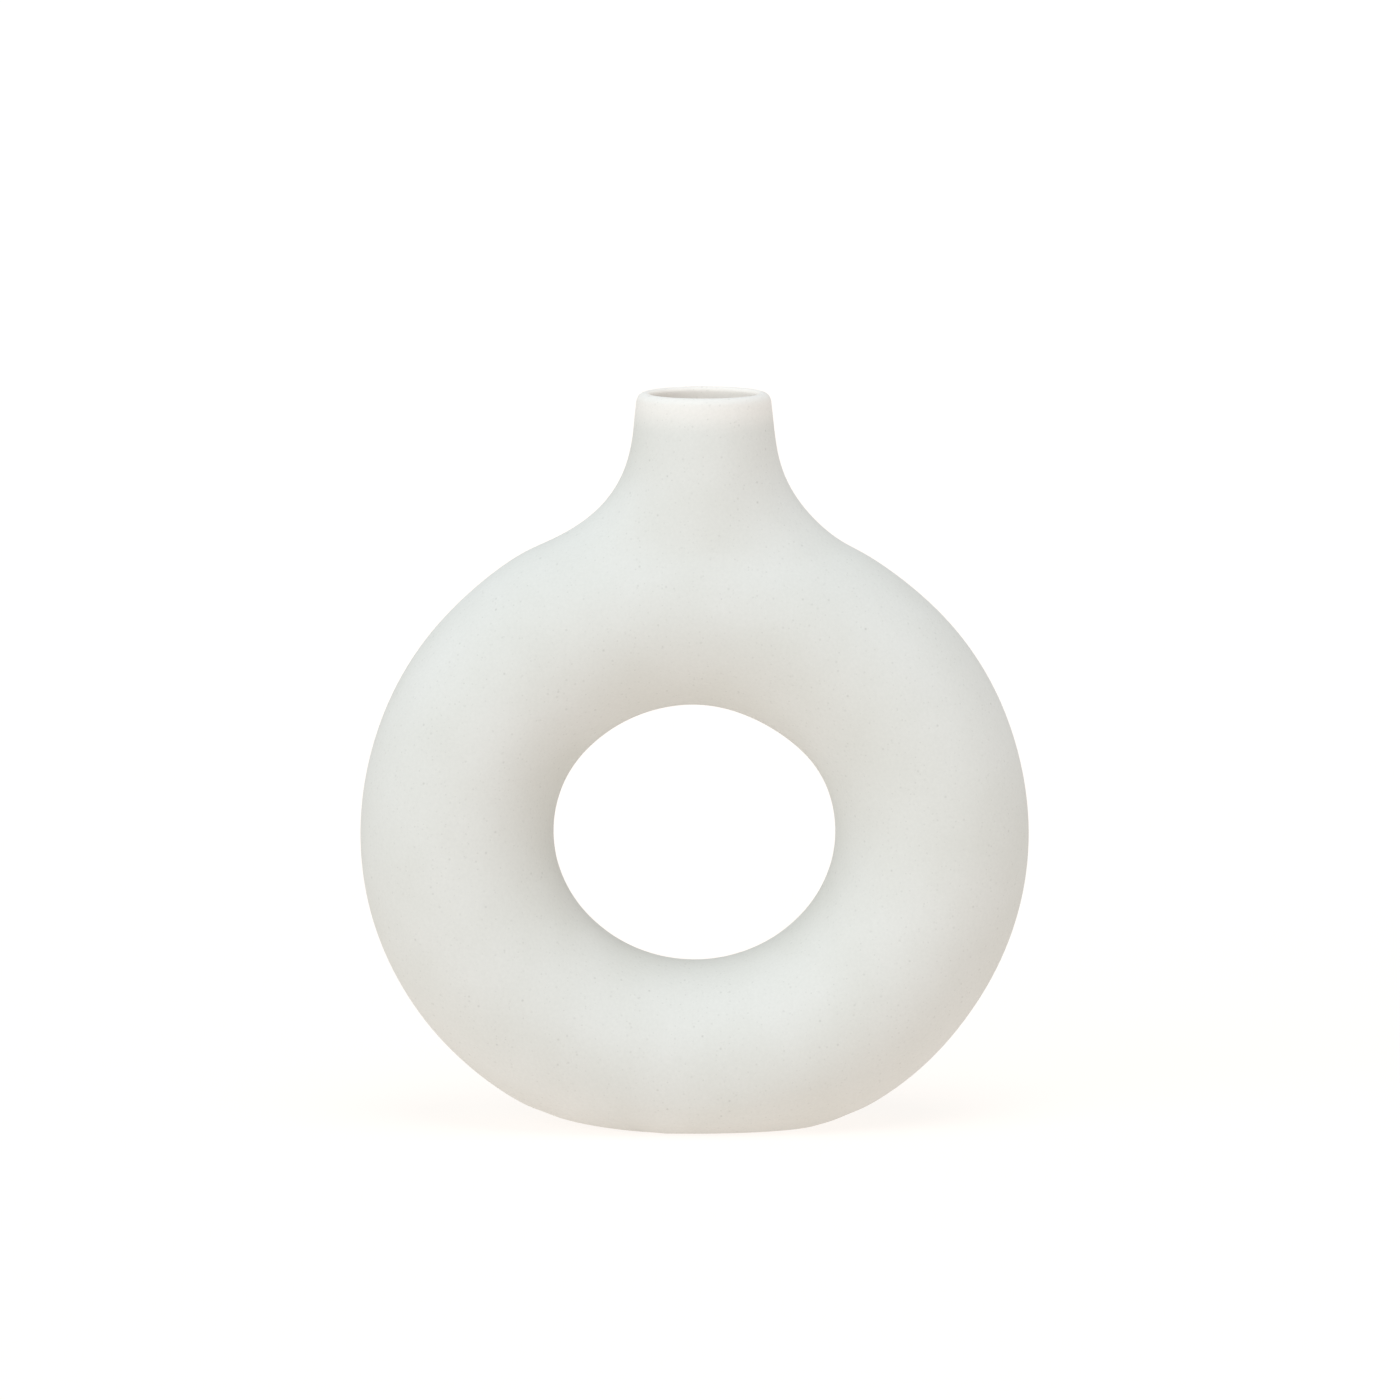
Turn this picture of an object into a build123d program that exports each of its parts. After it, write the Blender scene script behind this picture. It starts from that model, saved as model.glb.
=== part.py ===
import os
from math import sqrt

from build123d import *

# Donut vase, in millimetres: a hollow stoneware ring that stands on a foot cut flat, with a
# flared neck on top. +Z is up, the ring lies in the XZ plane and the front faces -Y. The origin
# is on the table, in the middle of the foot.

# Ring
ring_width = 180.0  # across the outside
ring_height = 173.4  # of the whole oval, before its underside is cut flat
tube_diameter = 52.2
wall = 4.2

# Foot
foot_cut = 6.8  # height that the flat foot takes off the oval
base_thickness = 5.0
foot_edge_radius = 2.0

# Neck and mouth
neck_height = 31.8  # rim above the top of the ring
neck_shift = 2.5  # the neck stands this far to the right of the ring's middle
rim_diameter = 35.6
neck_root_share = 0.92  # of the tube's diameter, where the neck's sides reach its middle
flare_radius = 37.0
mouth_diameter = 28.4
mouth_depth = 9.0  # straight mouth, above the wider throat
throat_diameter = 30.0
lip_outer_share = 0.56  # of the rim's thickness, rounded off outside
lip_inner_share = 0.38  # and inside

# Slip joints and glaze
slip = 0.6  # thickness of the slip that the clay pieces are stuck together with
neck_joint_drop = 9.5  # neck's joint, below the top of the ring
glaze = 0.4

overrun = 2.0  # how far a cut runs past the clay

# Oval middle line of the tube: four arcs that meet on the diagonals
tube_radius = tube_diameter / 2
half_span = (ring_width - tube_diameter) / 2
half_rise = (ring_height - tube_diameter) / 2
arc_shift = (half_span - half_rise) / sqrt(2)
side_arc_radius = half_rise - arc_shift
crown_arc_radius = half_span + arc_shift
side_arc_x = half_span - side_arc_radius
crown_arc_z = half_rise - crown_arc_radius

# Heights above the table
ring_z = ring_height / 2 - foot_cut
tube_top_z = ring_z + half_rise  # middle of the tube, under the neck
crown_z = ring_z + ring_height / 2
rim_z = crown_z + neck_height
throat_z = rim_z - mouth_depth
neck_joint_z = crown_z - neck_joint_drop

# Neck's radii
rim_radius = rim_diameter / 2
root_radius = tube_radius * neck_root_share
mouth_radius = mouth_diameter / 2
throat_radius = throat_diameter / 2
rim_thickness = rim_radius - mouth_radius

# The neck's own axis, and its half section to the right of it
neck_axis = Axis((neck_shift, 0, 0), (0, 0, 1))
neck_section = Plane(origin=(neck_shift, 0, 0), x_dir=(1, 0, 0), z_dir=(0, -1, 0))


# The vase's form, all its surfaces drawn in by inset: an oval ring with a neck that flares into it
def vase_form(inset, top_radius, bottom_radius):
    flare = flare_radius + inset
    lean = (bottom_radius - top_radius) / (rim_z - tube_top_z)
    with BuildLine(Plane.XZ) as oval:
        CenterArc((0, ring_z - crown_arc_z), crown_arc_radius, 225, 90)
        CenterArc((side_arc_x, ring_z), side_arc_radius, 315, 90)
        CenterArc((0, ring_z + crown_arc_z), crown_arc_radius, 45, 90)
        CenterArc((-side_arc_x, ring_z), side_arc_radius, 135, 90)
    path = oval.wires()[0]
    start = path @ 0
    with BuildPart() as form:
        with BuildSketch(Plane(origin=start, x_dir=Vector(0, 0, ring_z) - start, z_dir=path % 0)):
            Circle(tube_radius - inset)
        sweep(path=path)
        # The neck's sides run on above the rim, so that the flare always has room on them
        with BuildSketch(neck_section):
            Polygon(
                (0, tube_top_z),
                (bottom_radius, tube_top_z),
                (top_radius - lean * flare, rim_z + flare),
                (0, rim_z + flare),
                align=None,
            )
        revolve(axis=neck_axis)
        fillet(form.edges(Select.NEW), flare)
    return form.part


# Outside of the vase, solid
with BuildPart() as outside:
    add(vase_form(0, rim_radius, root_radius))
    split(bisect_by=Plane.XY.offset(rim_z), keep=Keep.BOTTOM)
    split(bisect_by=Plane.XY, keep=Keep.TOP)
    foot_edges = outside.faces().sort_by(Axis.Z)[0].edges()
    fillet(foot_edges, foot_edge_radius)

# Hollow inside the clay, from the base to the throat's top
with BuildPart() as hollow:
    add(vase_form(wall, throat_radius, throat_radius))
    split(bisect_by=Plane.XY.offset(throat_z), keep=Keep.BOTTOM)
    split(bisect_by=Plane.XY.offset(base_thickness), keep=Keep.TOP)

# Room for water, inside the glaze
with BuildPart() as water_room:
    add(vase_form(wall + glaze, throat_radius - glaze, throat_radius - glaze))
    split(bisect_by=Plane.XY.offset(throat_z), keep=Keep.BOTTOM)
    split(bisect_by=Plane.XY.offset(base_thickness + glaze), keep=Keep.TOP)

# All the clay and slip together, with a rounded lip
with BuildPart() as clay:
    add(outside.part)
    add(hollow.part, mode=Mode.SUBTRACT)
    with BuildSketch(Plane((neck_shift, 0, throat_z))):
        Circle(mouth_radius)
    extrude(amount=mouth_depth + overrun, mode=Mode.SUBTRACT)
    fillet(clay.faces().sort_by(Axis.Z)[-1].outer_wire().edges(), rim_thickness * lip_outer_share)
    fillet(clay.faces().sort_by(Axis.Z)[-1].inner_wires().edges(), rim_thickness * lip_inner_share)

# The hollow ring alone, between the base's joint and the neck's joint
with BuildPart() as ring:
    add(clay.part)
    split(bisect_by=Plane.XY.offset(base_thickness + slip), keep=Keep.TOP)
    split(bisect_by=Plane.XY.offset(neck_joint_z - slip), keep=Keep.BOTTOM)

# Front half of the ring
with BuildPart() as ring_front:
    add(ring.part)
    split(bisect_by=Plane.XZ.offset(slip / 2), keep=Keep.TOP)

# Back half of the ring
with BuildPart() as ring_back:
    add(ring.part)
    split(bisect_by=Plane.XZ.offset(-slip / 2), keep=Keep.BOTTOM)

# Slip between the two halves: one band round the hole, and one up each side of the ring
with BuildPart() as ring_seams:
    add(ring.part)
    split(bisect_by=Plane.XZ.offset(slip / 2), keep=Keep.BOTTOM)
    split(bisect_by=Plane.XZ.offset(-slip / 2), keep=Keep.TOP)
seam_bands = ring_seams.solids().sort_by(Axis.X)

with BuildPart() as outer_seam_left:
    add(seam_bands[0])

with BuildPart() as hole_seam:
    add(seam_bands[1])

with BuildPart() as outer_seam_right:
    add(seam_bands[2])

# Flared neck with its rim, and the slip under it
with BuildPart() as neck:
    add(clay.part)
    split(bisect_by=Plane.XY.offset(neck_joint_z), keep=Keep.TOP)

with BuildPart() as neck_seam:
    add(clay.part)
    split(bisect_by=Plane.XY.offset(neck_joint_z), keep=Keep.BOTTOM)
    split(bisect_by=Plane.XY.offset(neck_joint_z - slip), keep=Keep.TOP)

# Slab that closes the cut underside, and the slip on top of it
with BuildPart() as base_plate:
    add(clay.part)
    split(bisect_by=Plane.XY.offset(base_thickness), keep=Keep.BOTTOM)

with BuildPart() as base_seam:
    add(clay.part)
    split(bisect_by=Plane.XY.offset(base_thickness), keep=Keep.TOP)
    split(bisect_by=Plane.XY.offset(base_thickness + slip), keep=Keep.BOTTOM)

# Glaze that makes the inside watertight, up to the throat's top
with BuildPart() as glaze_lining:
    add(hollow.part)
    add(water_room.part, mode=Mode.SUBTRACT)

pieces = {
    "ring_front": ring_front,
    "ring_back": ring_back,
    "outer_seam_left": outer_seam_left,
    "outer_seam_right": outer_seam_right,
    "hole_seam": hole_seam,
    "neck": neck,
    "neck_seam": neck_seam,
    "base_plate": base_plate,
    "base_seam": base_seam,
    "glaze_lining": glaze_lining,
}
os.makedirs("parts", exist_ok=True)
for name, piece in pieces.items():
    piece.part.label = name
    export_step(piece.part, f"parts/{name}.step")
print(f"rim {rim_z:.1f} mm above the table, joint of the neck at {neck_joint_z:.1f} mm")
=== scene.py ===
from math import atan2, cos, hypot, pi, radians, sin, sqrt

import bmesh
import bpy
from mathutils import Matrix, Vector


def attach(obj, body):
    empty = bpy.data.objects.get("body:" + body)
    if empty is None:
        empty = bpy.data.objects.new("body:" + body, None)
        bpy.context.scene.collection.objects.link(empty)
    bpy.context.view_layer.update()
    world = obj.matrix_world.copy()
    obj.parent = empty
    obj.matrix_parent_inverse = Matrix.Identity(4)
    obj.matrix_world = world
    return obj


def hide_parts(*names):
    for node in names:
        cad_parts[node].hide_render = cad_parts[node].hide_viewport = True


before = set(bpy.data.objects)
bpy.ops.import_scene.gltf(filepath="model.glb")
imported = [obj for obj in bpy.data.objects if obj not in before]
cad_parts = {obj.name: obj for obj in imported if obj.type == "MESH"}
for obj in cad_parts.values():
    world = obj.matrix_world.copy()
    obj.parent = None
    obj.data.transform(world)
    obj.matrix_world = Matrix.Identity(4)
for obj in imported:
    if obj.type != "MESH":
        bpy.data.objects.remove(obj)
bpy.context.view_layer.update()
mm = 0.001
hair = 0.01 * mm   # places closer than this are one place
clayNodes = ["ring_front", "ring_back", "outer_seam_left", "outer_seam_right", "hole_seam",
             "neck", "neck_seam", "base_plate", "base_seam"]


def dropSelection():
    if bpy.context.object and bpy.context.object.mode == "EDIT":
        bpy.ops.object.mode_set(mode="OBJECT")
    bpy.ops.object.select_all(action="DESELECT")


def makeActive(piece):
    dropSelection()
    piece.select_set(True)
    bpy.context.view_layer.objects.active = piece


# in edit mode, selects the faces, edges or points that pass a test of the element and its middle
def pick(piece, kind, test):
    bpy.ops.mesh.select_mode(type=kind)
    bpy.ops.mesh.select_all(action="DESELECT")
    cage = bmesh.from_edit_mesh(piece.data)
    for item in {"FACE": cage.faces, "EDGE": cage.edges, "VERT": cage.verts}[kind]:
        points = [item] if kind == "VERT" else item.verts
        middle = sum((point.co for point in points), Vector()) / len(points)
        if test(item, middle):
            item.select_set(True)
    bmesh.update_edit_mesh(piece.data)


def isOpen(edge):
    return len(edge.link_faces) < 2


def finishWith(piece, kind, **settings):
    makeActive(piece)
    modifier = piece.modifiers.new(kind.lower(), kind)
    for name, value in settings.items():
        setattr(modifier, name, value)
    bpy.ops.object.modifier_apply(modifier=modifier.name)


# sizes in millimetres, as in the CAD model
vase = {
    "ringWidth": 179.98,   # this and the tube are a hair under the CAD sizes, to stay in its box
    "ringHeight": 173.4,   # of the whole oval
    "tubeAcross": 52.14,
    "footCut": 6.8,        # the flat foot is this far above the oval's lowest point
    "neckShift": 2.5,      # the neck stands to the right of the ring's middle
    "rimHeight": 198.4,
    "rimAcross": 35.6,
    "neckTaper": 0.107,    # gain in the neck's radius for each mm down
    "mouthAcross": 28.4,
    "wall": 3.0,           # thinner than the CAD clay's 4.2, so that it stays behind the glaze
    "lipOutside": 2.0,     # rounding of the lip
    "lipInside": 1.4,
    "lipSegments": 3,
    "footEdge": 0.5,       # rounding where the foot meets the table
    "footSegments": 2,
    "footInset": 2.0,      # ring of faces inside the foot's edge
    "footShort": 1.6,      # each end of the foot is this far short of the oval's flat cut
    "footNarrow": 2.0,     # and each side
    "footFlat": 0.02,      # points lower than this are on the foot's flat face
    "quarterSteps": 12,    # faces along a quarter of the ring
    "tubeSides": 16,       # faces round the tube
    "patchSteps": 4,       # half of the patch that the neck or the foot takes, along the ring
    "patchSides": 3,       # and round the tube
    "patchEdge": 0.1,      # places nearer to the patch's outline than this share of a face aren't in it
    "flareCuts": 5,        # rings of the flare, between ring and neck
    "footCuts": 2,
    "neckRings": [186.0, 190.0, 194.5],   # heights of the neck's rings of points, under the rim
    "ringReach": 1.0,      # points this near to a ring's height belong to it
    "smoothLevels": 2,
    # unevenness left by forming it by hand: x and z of a spot, its push right and up, and the reach
    "pushes": [
        (-37.0, 159.5, -0.45, 0.85, 32.0),   # fuller left shoulder
        (-22.2, 173.8, 0.50, -0.33, 22.0),   # tighter left flare
        (37.0, 161.0, 0.55, 0.75, 24.0),     # fuller right flare
        (56.0, 11.0, 0.45, -0.70, 30.0),     # lower right, beside the foot
        (-31.0, 0.0, 1.0, 0.90, 26.0),       # softer left end of the foot
        (-41.0, 4.5, -0.15, -0.40, 12.0),    # fuller on both sides of the foot
        (41.0, 4.5, 0.15, -0.35, 12.0),
        (-15.0, 47.0, 0.0, -0.80, 34.0),     # hole's lower edge
        (15.0, 47.0, 0.0, -0.80, 34.0),
        (20.9, 108.5, -0.40, -0.62, 24.0),   # hole's upper right
        (-88.3, 96.4, 0.45, 0.0, 45.0),      # flatter left side
        (85.9, 104.5, -0.40, 0.0, 35.0),     # flatter right side
    ],
}

# slip joints of the CAD clay
joints = {
    "nearMiddle": 0.5,         # upright ones lie this near to the ring's middle plane
    "heights": (4.0, 160.0),   # level ones lie between these heights
    "square": 0.999,           # how squarely a joint's face looks along Y or Z
    "weld": 0.001,             # points closer than this are merged
}

# oval middle line of the tube: four quarter arcs
tubeRadius = vase["tubeAcross"] / 2
halfSpan = vase["ringWidth"] / 2 - tubeRadius
halfRise = vase["ringHeight"] / 2 - tubeRadius
arcShift = (halfSpan - halfRise) / sqrt(2)
sideArc = halfRise - arcShift
crownArc = halfSpan + arcShift
sideOut = halfSpan - sideArc
crownDown = crownArc - halfRise
ringMiddle = vase["ringHeight"] / 2 - vase["footCut"]
crownTop = ringMiddle + halfRise + tubeRadius
loopPoints = 4 * (vase["patchSteps"] + vase["patchSides"])
neckAxis = (vase["neckShift"] * mm, 0, 0)
neckRings = [*vase["neckRings"], vase["rimHeight"]]


# how much larger a cage ring of so many points is than its smoothed ring
def cageGain(points):
    return 3 / (2 + cos(2 * pi / points))


def neckRadius(height):
    return vase["rimAcross"] / 2 + (vase["rimHeight"] - height) * vase["neckTaper"]


def fromNeckAxis(place):
    return hypot(place.x - neckAxis[0], place.y) / mm


# is this place in the patch at the top (way 1) or the bottom (way -1) of the ring?
def inPatch(place, way):
    x, y, z = place / mm
    rise = (z - ringMiddle) * way + crownDown
    alongRing = abs(atan2(x, rise)) / (pi / 2 / vase["quarterSteps"])
    roundTube = abs(atan2(y, hypot(x, rise) - crownArc)) / (2 * pi / vase["tubeSides"])
    farAlong = vase["patchSteps"] - vase["patchEdge"]
    farRound = vase["patchSides"] - vase["patchEdge"]
    return rise > 0 and alongRing < farAlong and roundTube < farRound


# one section of the tube, spun round the oval in four arcs
def spinRing():
    dropSelection()
    corner = crownArc * sin(pi / 4)
    seamGap = 0.05 * mm   # between the end of the last arc and the start of the first
    bpy.ops.mesh.primitive_circle_add(
        vertices=vase["tubeSides"], radius=tubeRadius * cageGain(vase["tubeSides"]) * mm,
        location=(-corner * mm, 0, (ringMiddle - crownDown + corner) * mm), rotation=(0, pi / 4, 0))
    ring = bpy.context.object
    ring.name = ring.data.name = "vase_body"
    bpy.ops.object.transform_apply(location=True, rotation=True, scale=True)
    bpy.ops.object.mode_set(mode="EDIT")
    bpy.ops.mesh.select_all(action="SELECT")
    for x, z in ((0, -crownDown), (sideOut, 0), (0, crownDown), (-sideOut, 0)):
        bpy.ops.mesh.spin(steps=vase["quarterSteps"], angle=pi / 2, axis=(0, -1, 0),
                          center=(x * mm, 0, (ringMiddle + z) * mm))
    bpy.ops.mesh.select_all(action="SELECT")
    bpy.ops.mesh.remove_doubles(threshold=seamGap)
    bpy.ops.mesh.select_all(action="SELECT")
    gain = cageGain(4 * vase["quarterSteps"])
    bpy.ops.transform.resize(value=(gain, 1, gain), center_override=(0, 0, ringMiddle * mm))
    return ring


# the neck: a circle bridged to the open crown, then drawn up to the rim
def raiseNeck(body):
    pick(body, "FACE", lambda face, middle: inPatch(middle, 1))
    bpy.ops.mesh.delete(type="FACE")
    bpy.ops.mesh.primitive_circle_add(
        vertices=loopPoints, radius=neckRadius(neckRings[0]) * cageGain(loopPoints) * mm,
        location=(neckAxis[0], 0, neckRings[0] * mm))
    pick(body, "EDGE", lambda edge, middle: middle.z > ringMiddle * mm and isOpen(edge))
    bpy.ops.mesh.bridge_edge_loops(number_cuts=vase["flareCuts"], interpolation="SURFACE", smoothness=1.0)
    for low, high in zip(neckRings, neckRings[1:]):
        pick(body, "EDGE", lambda edge, middle: abs(middle.z - low * mm) < hair and isOpen(edge))
        bpy.ops.mesh.extrude_edges_move(TRANSFORM_OT_translate={"value": (0, 0, (high - low) * mm)})
        share = neckRadius(high) / neckRadius(low)
        bpy.ops.transform.resize(value=(share, share, 1), center_override=neckAxis)


# the foot: an oval bridged to the open underside, closed flat
def closeFoot(body):
    pick(body, "FACE", lambda face, middle: inPatch(middle, -1))
    bpy.ops.mesh.delete(type="FACE")
    drop = ringMiddle + crownDown
    footLength = sqrt((crownArc + tubeRadius) ** 2 - drop ** 2) - vase["footShort"]
    footWidth = sqrt(tubeRadius ** 2 - (drop - crownArc) ** 2) - vase["footNarrow"]
    bpy.ops.mesh.primitive_circle_add(
        vertices=loopPoints, radius=footWidth * cageGain(loopPoints) * mm, location=(0, 0, 0))
    bpy.ops.transform.resize(value=(footLength / footWidth, 1, 1), center_override=(0, 0, 0))
    pick(body, "EDGE", lambda edge, middle: middle.z < ringMiddle * mm and isOpen(edge))
    bpy.ops.mesh.bridge_edge_loops(number_cuts=vase["footCuts"], interpolation="SURFACE", smoothness=1.0)
    pick(body, "EDGE", lambda edge, middle: middle.z < hair and isOpen(edge))
    bpy.ops.mesh.edge_face_add()
    bpy.ops.mesh.inset(thickness=vase["footInset"] * mm)
    bpy.ops.mesh.poke()
    bpy.ops.mesh.select_all(action="SELECT")
    bpy.ops.mesh.normals_make_consistent(inside=False)
    bpy.ops.object.mode_set(mode="OBJECT")


# is this face one of the flat faces of a joint, inside the clay?
def inJoint(face, middle):
    low, high = joints["heights"]
    upright = abs(face.normal.y) > joints["square"] and abs(middle.y) < joints["nearMiddle"] * mm
    level = abs(face.normal.z) > joints["square"] and low * mm < middle.z < high * mm
    return upright or level


# the flare and the sides of the foot settle on a merged copy of the CAD clay
def settleOnClay(body):
    dropSelection()
    for name in clayNodes:
        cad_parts[name].select_set(True)
    bpy.context.view_layer.objects.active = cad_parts[clayNodes[0]]
    bpy.ops.object.duplicate()
    bpy.ops.object.join()
    clay = bpy.context.object
    bpy.ops.object.mode_set(mode="EDIT")
    bpy.ops.mesh.select_all(action="SELECT")
    bpy.ops.mesh.remove_doubles(threshold=joints["weld"] * mm)
    pick(clay, "FACE", inJoint)   # these would catch points
    bpy.ops.mesh.delete(type="FACE")
    bpy.ops.object.mode_set(mode="OBJECT")
    low, high = hair, neckRings[0] * mm - hair
    loose = body.vertex_groups.new(name="flare")
    loose.add([point.index for point in body.data.vertices if low < point.co.z < high and (
        point.co.z > crownTop * mm or inPatch(point.co, 1) or inPatch(point.co, -1))], 1.0, "REPLACE")
    finishWith(body, "SHRINKWRAP", target=clay, vertex_group="flare", wrap_method="NEAREST_SURFACEPOINT")
    body.vertex_groups.clear()
    bpy.data.objects.remove(clay)


# small pushes of a hand in the soft clay; the foot stays flat
def pushClay(body):
    makeActive(body)
    bpy.ops.object.mode_set(mode="EDIT")
    for x, z, right, up, reach in vase["pushes"]:
        spot = Vector((x, 0, z)) * mm
        nearest = min((point.co.copy() for point in bmesh.from_edit_mesh(body.data).verts),
                      key=lambda place: (place - spot).length)
        pick(body, "VERT", lambda point, place: (place - nearest).length < hair)
        bpy.ops.transform.translate(
            value=(right * mm, 0, up * mm), use_proportional_edit=True,
            proportional_edit_falloff="SMOOTH", proportional_size=reach * mm)
    pick(body, "VERT", lambda point, place: place.z < vase["footFlat"] * mm)
    bpy.ops.transform.resize(value=(1, 1, 0), center_override=(0, 0, 0))
    bpy.ops.object.mode_set(mode="OBJECT")


# the mouth's points are drawn to a straight bore
def straightenMouth(body):
    insideWall = (vase["rimAcross"] + vase["mouthAcross"]) / 4   # half way through the lip
    for height in neckRings[1:]:
        pick(body, "VERT", lambda point, place: abs(place.z - height * mm) < vase["ringReach"] * mm
             and fromNeckAxis(place) < insideWall)
        inner = [point.co for point in bmesh.from_edit_mesh(body.data).verts if point.select]
        share = vase["mouthAcross"] / 2 * cageGain(loopPoints) / fromNeckAxis(inner[0])
        bpy.ops.transform.resize(value=(share, share, 1), center_override=neckAxis)


def roundLip(body):
    rim = vase["rimHeight"] * mm
    nearEdge = 0.3   # mm
    for across, size in ((vase["rimAcross"], vase["lipOutside"]), (vase["mouthAcross"], vase["lipInside"])):
        radius = across / 2 * cageGain(loopPoints)
        pick(body, "EDGE", lambda edge, middle: all(
            point.co.z > rim - hair and abs(fromNeckAxis(point.co) - radius) < nearEdge
            for point in edge.verts))
        bpy.ops.mesh.bevel(offset=size * mm, segments=vase["lipSegments"], affect="EDGES")


def roundFoot(body):
    facingDown = -0.99
    pick(body, "EDGE", lambda edge, middle: max(point.co.z for point in edge.verts) < hair
         and any(face.normal.z > facingDown for face in edge.link_faces))
    bpy.ops.mesh.bevel(offset=vase["footEdge"] * mm, segments=vase["footSegments"], affect="EDGES")


# inner wall with a level rim, a straight mouth, a rounded lip and the edge of the foot
def thickenWall(body):
    finishWith(body, "SOLIDIFY", thickness=vase["wall"] * mm, offset=-1.0, use_even_offset=True)
    bpy.ops.object.mode_set(mode="EDIT")
    rim = vase["rimHeight"] * mm
    pick(body, "VERT", lambda point, place: place.z > rim - vase["ringReach"] * mm)
    bpy.ops.transform.resize(value=(1, 1, 0), center_override=(0, 0, rim))
    straightenMouth(body)
    roundLip(body)
    roundFoot(body)
    bpy.ops.object.mode_set(mode="OBJECT")


body = spinRing()
print("ring spun")
raiseNeck(body)
closeFoot(body)
settleOnClay(body)
pushClay(body)
print("neck and foot bridged:", len(body.data.polygons), "faces")
thickenWall(body)
print("wall, lip and foot edge:", len(body.data.polygons), "faces")
finishWith(body, "SUBSURF", levels=vase["smoothLevels"], render_levels=vase["smoothLevels"])
bpy.ops.object.shade_smooth()
print("body smoothed:", len(body.data.polygons), "faces")

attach(body, "root")
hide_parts(*clayNodes)


# sRGB hex to linear colour
def linear(code):
    parts = [int(code[i:i + 2], 16) / 255 for i in (1, 3, 5)]
    return [c / 12.92 if c <= 0.04045 else ((c + 0.055) / 1.055) ** 2.4 for c in parts] + [1.0]


# texture scale for a pattern of this size in millimetres
def perSize(size):
    return 1 / (size * mm)


def newMaterial(name):
    material = bpy.data.materials.new(name)
    material.use_nodes = True
    material.node_tree.nodes.clear()
    return material, material.node_tree


# adds a node with its settings; an input is a value or a socket to link
def addNode(tree, kind, inputs=(), **settings):
    node = tree.nodes.new("ShaderNode" + kind)
    for name, value in settings.items():
        setattr(node, name, value)
    for name, value in dict(inputs).items():
        if isinstance(value, bpy.types.NodeSocket):
            tree.links.new(value, node.inputs[name])
        else:
            node.inputs[name].default_value = value
    return node


# from the first colour to the second, each a hex code or a socket
def mixColour(tree, share, first, second):
    ends = [linear(end) if isinstance(end, str) else end for end in (first, second)]
    return addNode(tree, "Mix", {0: share, 6: ends[0], 7: ends[1]}, data_type="RGBA").outputs[2]


def noise(tree, place, size, detail):
    inputs = {"Vector": place, "Scale": perSize(size), "Detail": detail}
    return addNode(tree, "TexNoise", inputs).outputs["Fac"]


noiseSpread = {"From Min": 0.3, "From Max": 0.7}   # most of a noise texture's values lie between these

bisque = {
    "clay": "#DEDBD5",
    "clayShade": "#DAD7D0",
    # rim: a painted highlight, paler clay along the top of the neck and the lip
    "rim": "#ECE6DF",
    "rimHighlightFades": (188.0, 196.0),   # heights between which the clay pales to the rim, a painted highlight
    # mouth: painted light, whitening the clay inside the mouth
    "mouth": "#FFF4EA",
    "mouthLightFades": (15.4, 14.3),   # distances from the neck's axis between which the rim turns white, painted light inside the mouth
    "speck": "#8C867D",
    # spacing, radius and depth of the coarse and the fine specks
    "specks": ((2.4, 0.52, 0.28), (1.2, 0.34, 0.24)),
    "rarity": 1.6,                # the higher, the fewer the dark specks
    "mottleSize": 24.0,
    "grainSize": 0.8,             # coarser than real grain, which is too fine to show here
    "grainDepth": 0.05,
    "roughness": (0.78, 0.9),
    "bumpDepth": 0.03,
    "bumpStrength": 0.5,
    "ior": 1.5,
    "specular": 0.2,
}


# paler clay colour of the rim, a painted highlight, and whiter still inside the mouth, painted light
def paintedLipAndMouthLight(tree, place):
    outer, inner = bisque["mouthLightFades"]
    fromAxis = addNode(tree, "VectorMath", {0: place, 1: neckAxis}, operation="SUBTRACT")
    flat = addNode(tree, "VectorMath", {0: fromAxis.outputs["Vector"], 1: (1, 1, 0)}, operation="MULTIPLY")
    reach = addNode(tree, "VectorMath", {0: flat.outputs["Vector"]}, operation="LENGTH")
    inMouth = addNode(tree, "MapRange", {
        "Value": reach.outputs["Value"], "From Min": outer * mm, "From Max": inner * mm})
    return mixColour(tree, inMouth.outputs["Result"], bisque["rim"], bisque["mouth"])


# soft round specks of one size over a colour; most are faint and a few are dark
def addSpecks(tree, place, colour, spacing, radius, strongest):
    speck = addNode(tree, "TexVoronoi", {"Vector": place, "Scale": perSize(spacing)})
    dot = addNode(tree, "MapRange", {
        "Value": speck.outputs["Distance"], "From Max": radius / spacing,
        "To Min": 1.0, "To Max": 0.0}, interpolation_type="SMOOTHSTEP")
    chance = addNode(tree, "SeparateColor", {"Color": speck.outputs["Color"]})
    rare = addNode(tree, "Math", {0: chance.outputs["Red"], 1: bisque["rarity"]}, operation="POWER")
    depth = addNode(tree, "Math", {0: rare.outputs["Value"], 1: strongest}, operation="MULTIPLY")
    mark = addNode(tree, "Math", {
        0: dot.outputs["Result"], 1: depth.outputs["Value"]}, operation="MULTIPLY")
    return mixColour(tree, mark.outputs["Value"], colour, bisque["speck"])
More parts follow.
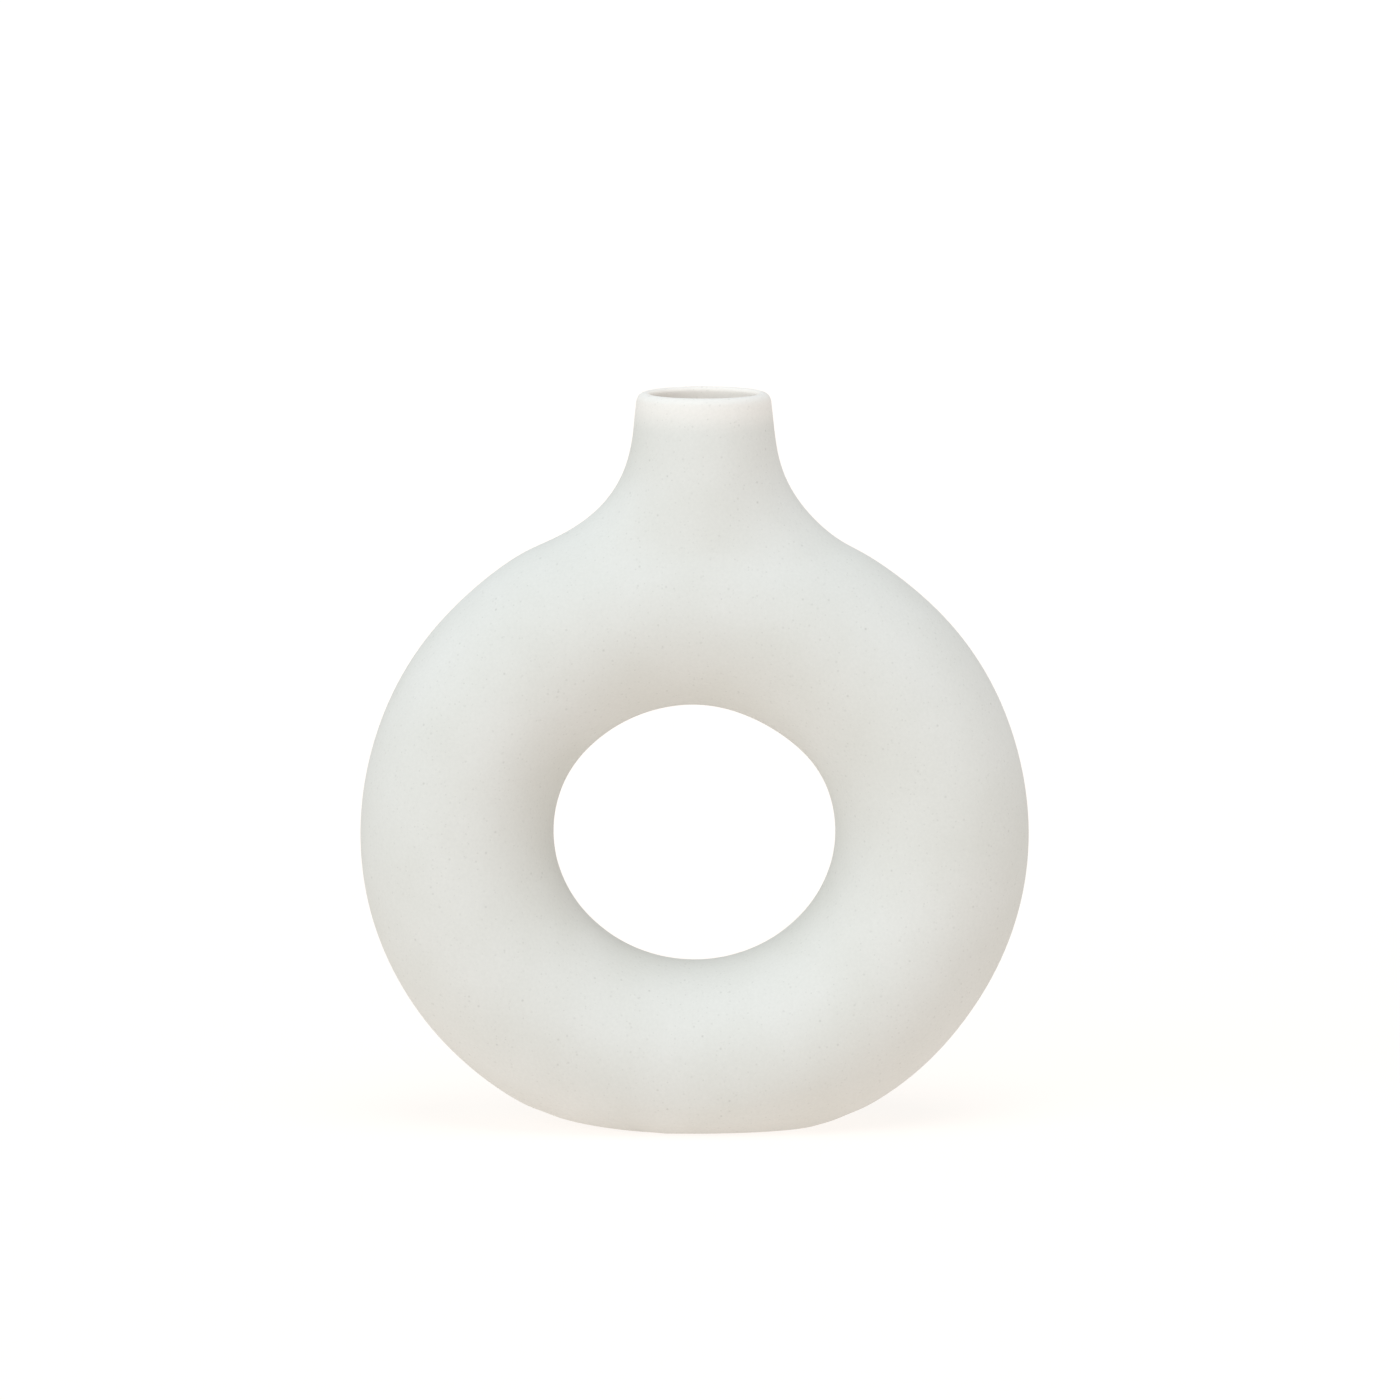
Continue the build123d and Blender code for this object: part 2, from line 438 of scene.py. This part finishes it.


# unglazed bisque stoneware, sponged smooth: dull off-white with a faint sandy grain and soft
# grey-brown specks of two sizes; paler towards the rim and whiter inside the mouth, painted highlight and
# painted light
def bisqueStoneware():
    material, tree = newMaterial("bisque_stoneware")
    place = addNode(tree, "TexCoord").outputs["Object"]
    cloud = noise(tree, place, bisque["mottleSize"], detail=2.0)
    grain = noise(tree, place, bisque["grainSize"], detail=3.0)
    mottle = addNode(tree, "MapRange", {"Value": cloud, **noiseSpread})
    clay = mixColour(tree, mottle.outputs["Result"], bisque["clay"], bisque["clayShade"])
    # painted highlight: the clay pales with height towards the rim
    low, high = bisque["rimHighlightFades"]
    height = addNode(tree, "SeparateXYZ", {"Vector": place}).outputs["Z"]
    rimHighlight = addNode(tree, "MapRange", {
        "Value": height, "From Min": low * mm, "From Max": high * mm}, interpolation_type="SMOOTHSTEP")
    ground = mixColour(tree, rimHighlight.outputs["Result"], clay, paintedLipAndMouthLight(tree, place))
    sandy = addNode(tree, "MapRange", {"Value": grain, **noiseSpread, "To Max": bisque["grainDepth"]})
    colour = mixColour(tree, sandy.outputs["Result"], ground, bisque["speck"])
    for spacing, radius, strongest in bisque["specks"]:
        colour = addSpecks(tree, place, colour, spacing, radius, strongest)
    smoothest, dullest = bisque["roughness"]
    dull = addNode(tree, "MapRange", {
        "Value": grain, **noiseSpread, "To Min": smoothest, "To Max": dullest})
    bump = addNode(tree, "Bump", {
        "Height": grain, "Strength": bisque["bumpStrength"], "Distance": bisque["bumpDepth"] * mm})
    shader = addNode(tree, "BsdfPrincipled", {
        "Base Color": colour, "Roughness": dull.outputs["Result"], "Normal": bump.outputs["Normal"],
        "IOR": bisque["ior"], "Specular IOR Level": bisque["specular"]})
    addNode(tree, "OutputMaterial", {"Surface": shader.outputs["BSDF"]})
    return material


glaze = {
    "thin": "#F1EFE9",
    "pooled": "#E4E0D6",
    "poolSize": 14.0,
    "waveSize": 5.0,
    "waveDepth": 0.06,
    "waveStrength": 0.4,
    "roughness": (0.08, 0.16),
    "ior": 1.5,
}


# clear gloss glaze over the clay, poured inside: off-white with warmer pools and a soft
# orange-peel shine
def pouredGlaze():
    material, tree = newMaterial("poured_clear_glaze")
    place = addNode(tree, "TexCoord").outputs["Object"]
    pool = noise(tree, place, glaze["poolSize"], detail=3.0)
    wave = noise(tree, place, glaze["waveSize"], detail=1.0)
    colour = mixColour(tree, pool, glaze["thin"], glaze["pooled"])
    glossiest, dullest = glaze["roughness"]
    gloss = addNode(tree, "MapRange", {"Value": pool, "To Min": glossiest, "To Max": dullest})
    bump = addNode(tree, "Bump", {
        "Height": wave, "Strength": glaze["waveStrength"], "Distance": glaze["waveDepth"] * mm})
    shader = addNode(tree, "BsdfPrincipled", {
        "Base Color": colour, "Roughness": gloss.outputs["Result"], "Normal": bump.outputs["Normal"],
        "IOR": glaze["ior"]})
    addNode(tree, "OutputMaterial", {"Surface": shader.outputs["BSDF"]})
    return material


body.data.materials.clear()
body.data.materials.append(bisqueStoneware())
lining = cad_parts["glaze_lining"]
lining.data.materials.clear()
lining.data.materials.append(pouredGlaze())
print("clay and glaze made")

studio = {
    "floor": "#8E827A",
    "floorGlow": "#FFFEFC",
    "glowStrength": 0.79,
    "floorRoughness": 0.9,
    "floorSpecular": 0.1,
    "floorWidth": 60.0,     # metres
    "sky": "#F5FCFF",
    "skyStrength": 0.635,
    # far soft lights: degrees left of the camera, degrees up, colour and strength
    "lights": {
        "window_light": (45.0, 30.0, "#E2F5FF", 0.85),
        "overhead_light": (-15.0, 70.0, "#F3F8FF", 1.22),
    },
    "lightSpread": 40.0,    # degrees
    "aim": (1.5, 0.0, 115.45),   # mm, as is the camera's place
    "cameraPlace": (0.0, -2473.8, 455.9),
    "lens": 239.3,
    "sensor": 36.0,
    "farthest": 200.0,      # metres that the camera sees
}


# matte acrylic sheet, lit from below: an even white that shows only a faint shadow
def litAcrylic():
    material, tree = newMaterial("lit_matte_acrylic")
    shader = addNode(tree, "BsdfPrincipled", {
        "Base Color": linear(studio["floor"]), "Roughness": studio["floorRoughness"],
        "Specular IOR Level": studio["floorSpecular"], "Emission Color": linear(studio["floorGlow"]),
        "Emission Strength": studio["glowStrength"]})
    addNode(tree, "OutputMaterial", {"Surface": shader.outputs["BSDF"]})
    return material


def layFloor():
    dropSelection()
    bpy.ops.mesh.primitive_plane_add(size=studio["floorWidth"], location=(0, 0, 0))
    floor = bpy.context.object
    floor.name = "floor"
    floor.data.materials.append(litAcrylic())


def hangLights():
    world = bpy.data.worlds.new("studio_sky")
    bpy.context.scene.world = world
    world.use_nodes = True
    tree = world.node_tree
    tree.nodes.clear()
    sky = addNode(tree, "Background", {"Color": linear(studio["sky"]), "Strength": studio["skyStrength"]})
    addNode(tree, "OutputWorld", {"Surface": sky.outputs["Background"]})
    for name, (left, up, tint, strength) in studio["lights"].items():
        bpy.ops.object.light_add(type="SUN", rotation=(radians(90 - up), 0, radians(-left)))
        light = bpy.context.object
        light.name = light.data.name = name
        light.data.angle = radians(studio["lightSpread"])
        light.data.color = linear(tint)[:3]
        light.data.energy = strength


def placeCamera():
    bpy.ops.object.camera_add(location=Vector(studio["cameraPlace"]) * mm)
    camera = bpy.context.object
    aim = Vector(studio["aim"]) * mm
    camera.rotation_euler = (aim - camera.location).to_track_quat("-Z", "Y").to_euler()
    camera.data.sensor_fit = "HORIZONTAL"
    camera.data.sensor_width = studio["sensor"]
    camera.data.lens = studio["lens"]
    camera.data.clip_end = studio["farthest"]
    bpy.context.scene.camera = camera
    bpy.context.scene.view_settings.view_transform = "Standard"


layFloor()
hangLights()
placeCamera()
print("studio lit")
